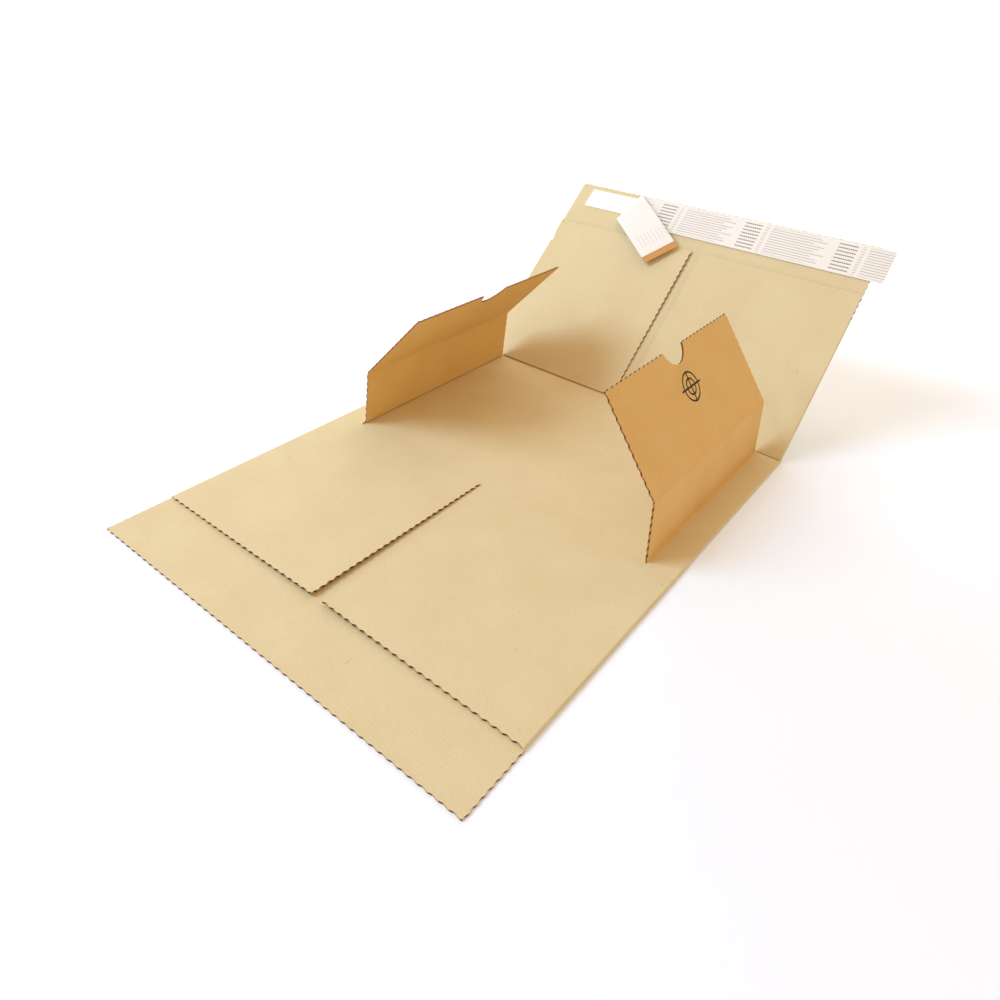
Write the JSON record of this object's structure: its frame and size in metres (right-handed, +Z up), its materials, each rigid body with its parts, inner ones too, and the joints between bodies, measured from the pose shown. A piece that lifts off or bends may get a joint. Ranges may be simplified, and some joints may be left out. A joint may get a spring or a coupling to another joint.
{
  "type": "wraparound mailer",
  "caption": "Wraparound book mailer of kraft corrugated board, open: wings raised over the base, back flap tilted up with an adhesive strip and part-peeled liner.",
  "frame": {"origin": "middle of the base's underside, between the two creases, on the table", "axes": "+Z up, +Y along the strip towards the back flap, +X across to the right wing"},
  "size_m": [0.392, 0.7369, 0.1923],
  "materials": {
    "kraft_board": "matte kraft liner over fine flutes",
    "adhesive": "white tacky film",
    "liner_paper": "smooth white siliconed paper",
    "kraft_paper": "brown kraft paper"
  },
  "bodies": {
    "base": {"base_panel": "kraft_board"},
    "front_flap": {"front_flap_panel": "kraft_board"},
    "back_flap": {"back_flap_panel": "kraft_board", "adhesive_strip": "adhesive", "release_liner": "liner_paper", "liner_pull_tab": "kraft_paper"},
    "right_wall": {"right_wing_wall": "kraft_board"},
    "right_top": {"right_wing_top": "kraft_board"},
    "left_wall": {"left_wing_wall": "kraft_board"},
    "left_top": {"left_wing_top": "kraft_board"}
  },
  "joints": [
    {"name": "front_crease", "type": "hinge", "parent": "base", "child": "front_flap", "pos_m": [0, -0.129, 0.0034], "axis": [-1, 0, 0], "range_deg": [0, 90]},
    {"name": "back_crease", "type": "hinge", "parent": "base", "child": "back_flap", "pos_m": [0, 0.129, 0.0034], "axis": [1, 0, 0], "range_deg": [-43.5, 46.5]},
    {"name": "right_wall_crease", "type": "hinge", "parent": "base", "child": "right_wall", "pos_m": [0.1626, 0.002, 0.0034], "axis": [0, -1, 0], "range_deg": [-38, 20]},
    {"name": "right_top_crease", "type": "hinge", "parent": "right_wall", "child": "right_top", "pos_m": [0.15785, 0.002, 0.06121], "axis": [0, -1, 0], "range_deg": [-32, 57]},
    {"name": "left_wall_crease", "type": "hinge", "parent": "base", "child": "left_wall", "pos_m": [-0.1626, 0.002, 0.0034], "axis": [0, 1, 0], "range_deg": [-34, 24]},
    {"name": "left_top_crease", "type": "hinge", "parent": "left_wall", "child": "left_top", "pos_m": [-0.16209, 0.002, 0.0614], "axis": [0, 1, 0], "range_deg": [-39, 51]}
  ]
}
